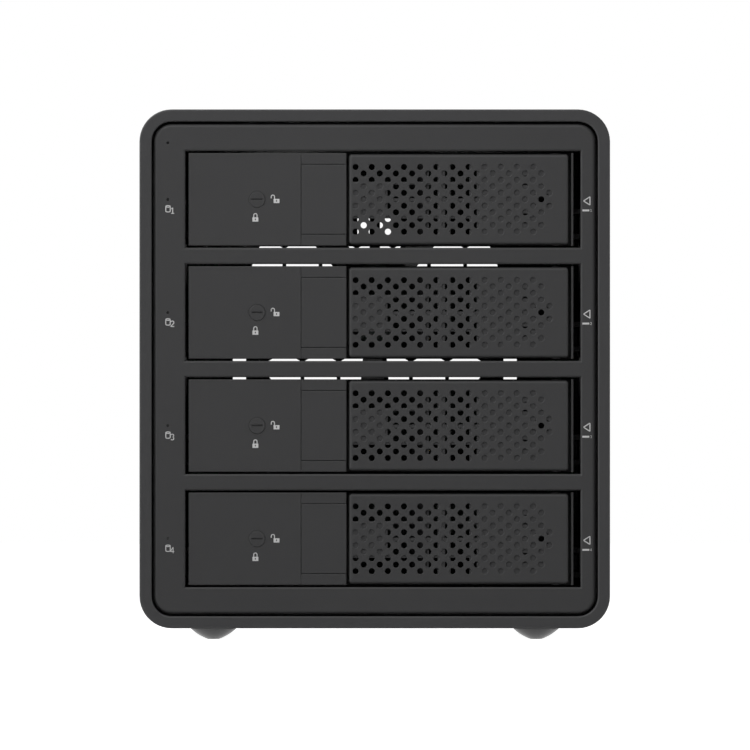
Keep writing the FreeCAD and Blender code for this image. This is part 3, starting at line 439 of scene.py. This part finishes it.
# %% Print the marks on the bezel and on the tray fronts
# Each pair is how far a mark lies to the right of the lamp or the lock, and above the lock's middle.
SYMBOL_RIGHT, SYMBOL_UP = 0.05 * MM, -2.75 * MM
NUMBER_RIGHT, NUMBER_UP = 1.3 * MM, -3.3 * MM
OPEN_RIGHT, OPEN_UP = 5.6 * MM, 0.15 * MM
CLOSED_RIGHT, CLOSED_UP = -0.5 * MM, -5.2 * MM
ARROW_X, ARROW_UP = 61.35 * MM, -0.45 * MM
bezel_marks = []
for n in bay_numbers:
    z = lock_at[n][2]
    bezel_marks.append((drive_symbol(), led_x + SYMBOL_RIGHT, bezel_front, z + SYMBOL_UP))
    bezel_marks.append((digit(n), led_x + NUMBER_RIGHT, bezel_front, z + NUMBER_UP))
    bezel_marks.append((arrow(n), ARROW_X, bezel_front, z + ARROW_UP))
print_marks("bezel_marks", bezel_marks, "shell")
for n in bay_numbers:
    x, _, z = lock_at[n]
    marks = [(padlock(True), x + OPEN_RIGHT, face_front, z + OPEN_UP),
             (padlock(False), x + CLOSED_RIGHT, face_front, z + CLOSED_UP)]
    print_marks("lock_marks_%d" % n, marks, "carrier_%d" % n)

# %% [markdown]
# ## What sits on the boards
# Chips and capacitors are soldered by machine in rows. Each is a block whose top edges are chamfered:
# eight low and four high points, repeated as an array.

# %% Small blocks on a board
def prisms(centres, sizes, up, right):
    """Chamfered blocks: base corner = centre +/- half size, and the top is the same corners drawn in.

    The three rings are the base, the shoulder at 80 % of the height, and the top, which is 86 % as
    wide."""
    centres = np.asarray(centres, float)
    sizes = np.asarray(sizes, float)
    up = np.asarray(up, float)
    right = np.asarray(right, float)
    forward = np.cross(up, right)
    square = np.array([(-1, -1), (1, -1), (1, 1), (-1, 1)]) / 2
    rings = [(1.0, 0.0), (1.0, 0.8), (0.86, 1.0)]
    points = np.concatenate([
        centres[:, None, :] + square[None, :, :1] * share * sizes[:, None, :1] * right
        + square[None, :, 1:] * share * sizes[:, None, 1:2] * forward + height * sizes[:, None, 2:] * up
        for share, height in rings], axis=1)
    walls = [[r * 4 + k, r * 4 + (k + 1) % 4, r * 4 + 4 + (k + 1) % 4, r * 4 + 4 + k]
             for r in (0, 1) for k in range(4)]
    one = walls + [[3, 2, 1, 0], [8, 9, 10, 11]]
    faces = [[index + 12 * b for index in face] for b in range(len(centres)) for face in one]
    return points.reshape(-1, 3), faces


def blocks(name, places, size, up, material, slot):
    """Equal blocks of a size in millimetres (across, deep, tall) at every place, as one piece."""
    sizes = np.tile(size, (len(places), 1)) * MM
    outward(piece(name, *prisms(places, sizes, up, (1, 0, 0)), "shell", material, slot))
    print(name, len(places))


chip_black = finish("chip epoxy", (0.012, 0.012, 0.013), 0.48, 0.0003, bump=0.10, spread=0.15)
ceramic = finish("capacitor ceramic", (0.30, 0.21, 0.13), 0.4, 0.0003, bump=0.05, spread=0.15)
rng = np.random.default_rng(7)

# %% Parts on the backplane
CHIP_X, CHIP_UP = -20.0, 6.0
board_back = corners("backplane_board")[1][1]
columns = np.linspace(-38.0, 2.0, 9) * MM
rows = np.array([lock_at[n][2] for n in bay_numbers]) + 1.0 * MM
grid_x, grid_z = np.meshgrid(columns, rows)
jitter = rng.uniform(-0.4, 0.4, grid_x.shape) * MM
places = np.stack([grid_x + jitter, np.full(grid_x.shape, board_back), grid_z], axis=-1).reshape(-1, 3)
blocks("backplane_capacitors", places, [2.2, 1.3, 0.9], (0, 1, 0), ceramic, "ceramic_parts")
chips = np.array([(CHIP_X, lock_at[n][2] / MM + CHIP_UP) for n in bay_numbers]) * MM
chip_at = np.stack([chips[:, 0], np.full(4, board_back), chips[:, 1]], axis=1)
blocks("backplane_chips", chip_at, [7.0, 7.0, 1.0], (0, 1, 0), chip_black, "black_plastic")

# %% Parts on the bridge board
BOARD_THICKNESS = 1.6 * MM
bridge_top = corners("board_standoffs")[1][2] + BOARD_THICKNESS
xs, ys = np.meshgrid(np.linspace(12.0, 40.0, 8), (74.0, 78.0, 82.0))
spots = np.stack([xs, ys, np.full(xs.shape, bridge_top / MM)], axis=-1).reshape(-1, 3) * MM
blocks("bridge_capacitors", spots, [1.8, 1.1, 0.9], (0, 0, 1), ceramic, "ceramic_parts")

# %% [markdown]
# ## Gold contacts in the drive sockets
# Each socket has seven data contacts and fifteen power contacts, 1.27 mm apart, on the upper side of its
# two blades. They are strips 0.12 mm thick, so the same block array makes them.

# %% Contacts
gold = finish("gold plate", (0.80, 0.56, 0.20), 0.25, 0.0004, bump=0.04, metallic=1.0, spread=0.06)
FIRST_DATA, FIRST_POWER, PITCH = 11.2, 28.0, 1.27
CONTACT_Y, SOCKET_DROP, BLADE_TOP = 52.2, 10.9, 3.4
strips = [FIRST_DATA + PITCH * k for k in range(7)] + [FIRST_POWER + PITCH * k for k in range(15)]
contacts = np.array([(x, CONTACT_Y, lock_at[n][2] / MM - SOCKET_DROP + BLADE_TOP)
                     for n in bay_numbers for x in strips]) * MM
blocks("socket_contacts", contacts, [0.8, 3.6, 0.12], (0, 0, 1), gold, "brass")

# %% [markdown]
# ## The fan's hub label
# A round foil label sits on the end of the rotor's hub and turns with it. It is blank apart from two
# raised rings, and is a surface of revolution: a profile (radius, y) turned through a full circle.

# %% Hub label
def turned_disc(profile, centre, count=64):
    """Revolves a profile of (radius, y) points about the Y axis through centre.

    Both ends of the profile lie on the axis, where the surface closes."""
    profile = np.asarray(profile, float)
    turn = np.linspace(0, 2 * np.pi, count, endpoint=False)
    inner = profile[1:-1]
    radius = inner[:, 0][:, None]
    ring = np.stack([radius * np.cos(turn), np.broadcast_to(inner[:, 1][:, None], (len(inner), count)),
                     radius * np.sin(turn)], axis=-1).reshape(-1, 3)
    poles = np.array([(0, profile[0][1], 0), (0, profile[-1][1], 0)])
    k = np.arange(count)
    after = (k + 1) % count
    quads = [np.stack([r * count + k, r * count + after, (r + 1) * count + after, (r + 1) * count + k],
                      axis=1) for r in range(len(inner) - 1)]
    low, high = len(ring), len(ring) + 1
    last = (len(inner) - 1) * count
    faces = np.concatenate(quads).tolist() + np.stack([np.full(count, low), after, k], axis=1).tolist()
    faces += np.stack([np.full(count, high), last + k, last + after], axis=1).tolist()
    return np.concatenate([ring, poles]) + centre, faces


foil = finish("label foil", (0.45, 0.46, 0.47), 0.35, 0.0004, bump=0.05, metallic=0.6, spread=0.05)
fan_low, fan_high = corners("fan_frame")
HUB_INSET = 1.5 * MM
hub_at = np.array([0.0, fan_low[1] + HUB_INSET, (fan_low[2] + fan_high[2]) / 2])
label = [(0, -0.14), (5.0, -0.14), (5.2, -0.18), (5.6, -0.18), (5.8, -0.14), (10.6, -0.14),
         (10.8, -0.18), (11.2, -0.18), (11.5, -0.12), (11.6, 0.0), (0, 0.0)]
outward(piece("fan_hub_label", *turned_disc(np.array(label) * MM, hub_at), "fan", foil, "plated_shell"))

# %% [markdown]
# ## Floor, light and camera
# The floor is one wide pale sheet. It glows, so the shadow under the low feet stays almost white, but
# it is hidden from diffuse rays: it shows in the glossy feet and sends no light up the front. The sky
# is white to the camera and dimmer to the object. A soft light close above the front makes it darker
# towards the foot, and a light at each side draws the thin bright lines along the rounded edges.

# %% Floor
def round_sheet(radius, rings, spokes):
    """A flat disc: x = r cos a, y = r sin a, z = 0, on a grid of r by a, closed in the middle."""
    turn = np.linspace(0, 2 * np.pi, spokes, endpoint=False)
    r, a = np.meshgrid(np.linspace(0, radius, rings + 1)[1:], turn, indexing="ij")
    ring = np.stack([r * np.cos(a), r * np.sin(a), np.zeros_like(r)], axis=-1).reshape(-1, 3)
    i, j = np.meshgrid(np.arange(rings - 1), np.arange(spokes), indexing="ij")
    low = (i * spokes + j).ravel()
    side = (i * spokes + (j + 1) % spokes).ravel()
    quads = np.stack([low, low + spokes, side + spokes, side], axis=1).tolist()
    k = np.arange(spokes)
    fan = np.stack([k, (k + 1) % spokes, np.full(spokes, len(ring))], axis=1).tolist()
    return np.concatenate([ring, [[0, 0, 0]]]), quads + fan


FLOOR_RADIUS = 5.0
paper = finish("studio paper", (0.90, 0.90, 0.90), 0.85, 0.004, bump=0.02, spread=0.01)
paper_shader = paper.node_tree.nodes["Principled BSDF"]
paper_shader.inputs["Emission Color"].default_value = (1.0, 1.0, 1.0, 1.0)
paper_shader.inputs["Emission Strength"].default_value = 0.97
paper_points, paper_faces = round_sheet(FLOOR_RADIUS, 12, 64)
paper_mesh = bpy.data.meshes.new("studio_paper")
paper_mesh.from_pydata(paper_points.tolist(), [], paper_faces)
paper_mesh.materials.append(paper)
paper_object = bpy.data.objects.new("studio_paper", paper_mesh)
paper_object.visible_diffuse = False
bpy.context.scene.collection.objects.link(paper_object)
print("floor radius in m", FLOOR_RADIUS)

# %% Lights
def soft_light(name, place, aim, size, power):
    """An area light of the given size in metres, turned to look at aim."""
    lamp = bpy.data.lights.new(name, "AREA")
    lamp.shape = "RECTANGLE"
    lamp.size, lamp.size_y = size
    lamp.energy = power
    made = bpy.data.objects.new(name, lamp)
    made.location = place
    made.visible_camera = False
    made.rotation_euler = (Vector(aim) - Vector(place)).to_track_quat("-Z", "Y").to_euler()
    bpy.context.scene.collection.objects.link(made)


soft_light("top_soft", (-0.20, -0.42, 0.62), (0, -0.1, 0.08), (0.9, 0.3), 4.7)
soft_light("left_rim", (-1.6, -0.55, 0.35), (0, -0.1, 0.08), (0.5, 1.2), 14.0)
soft_light("right_rim", (1.6, -0.40, 0.30), (0, -0.1, 0.08), (0.5, 1.2), 7.0)
SKY_ON_OBJECT = 0.13
world = bpy.data.worlds.new("studio")
world.use_nodes = True
sky = world.node_tree.nodes["Background"]
sky.inputs["Color"].default_value = (1, 1, 1, 1)
rays = world.node_tree.nodes.new("ShaderNodeLightPath")
seen = ramp(world.node_tree, rays.outputs["Is Camera Ray"], SKY_ON_OBJECT, 1.0, 0.0, 1.0)
world.node_tree.links.new(seen, sky.inputs["Strength"])
bpy.context.scene.world = world
bpy.context.scene.view_settings.view_transform = "Standard"

# %% [markdown]
# ## Camera
# The front is seen square on from nine metres with a long lens, so that the openings' side walls stay
# hidden. The picture is 216.75 mm wide at the front of the sleeve, and its middle is about half way up
# the enclosure.

# %% Camera
PICTURE_W = 216.75 * MM
CAMERA_AWAY = 9.0
SENSOR_MM = 36.0
CAMERA_X = 0.07 * MM
CAMERA_Z = 76.44 * MM
camera_data = bpy.data.cameras.new("camera")
camera_data.sensor_width = SENSOR_MM
camera_data.lens = SENSOR_MM * CAMERA_AWAY / PICTURE_W
camera_data.clip_end = 50.0
camera = bpy.data.objects.new("camera", camera_data)
camera.location = (CAMERA_X, cad_box[0][1] - CAMERA_AWAY, CAMERA_Z)
camera.rotation_euler = (math.radians(90), 0, 0)
bpy.context.scene.collection.objects.link(camera)
bpy.context.scene.camera = camera
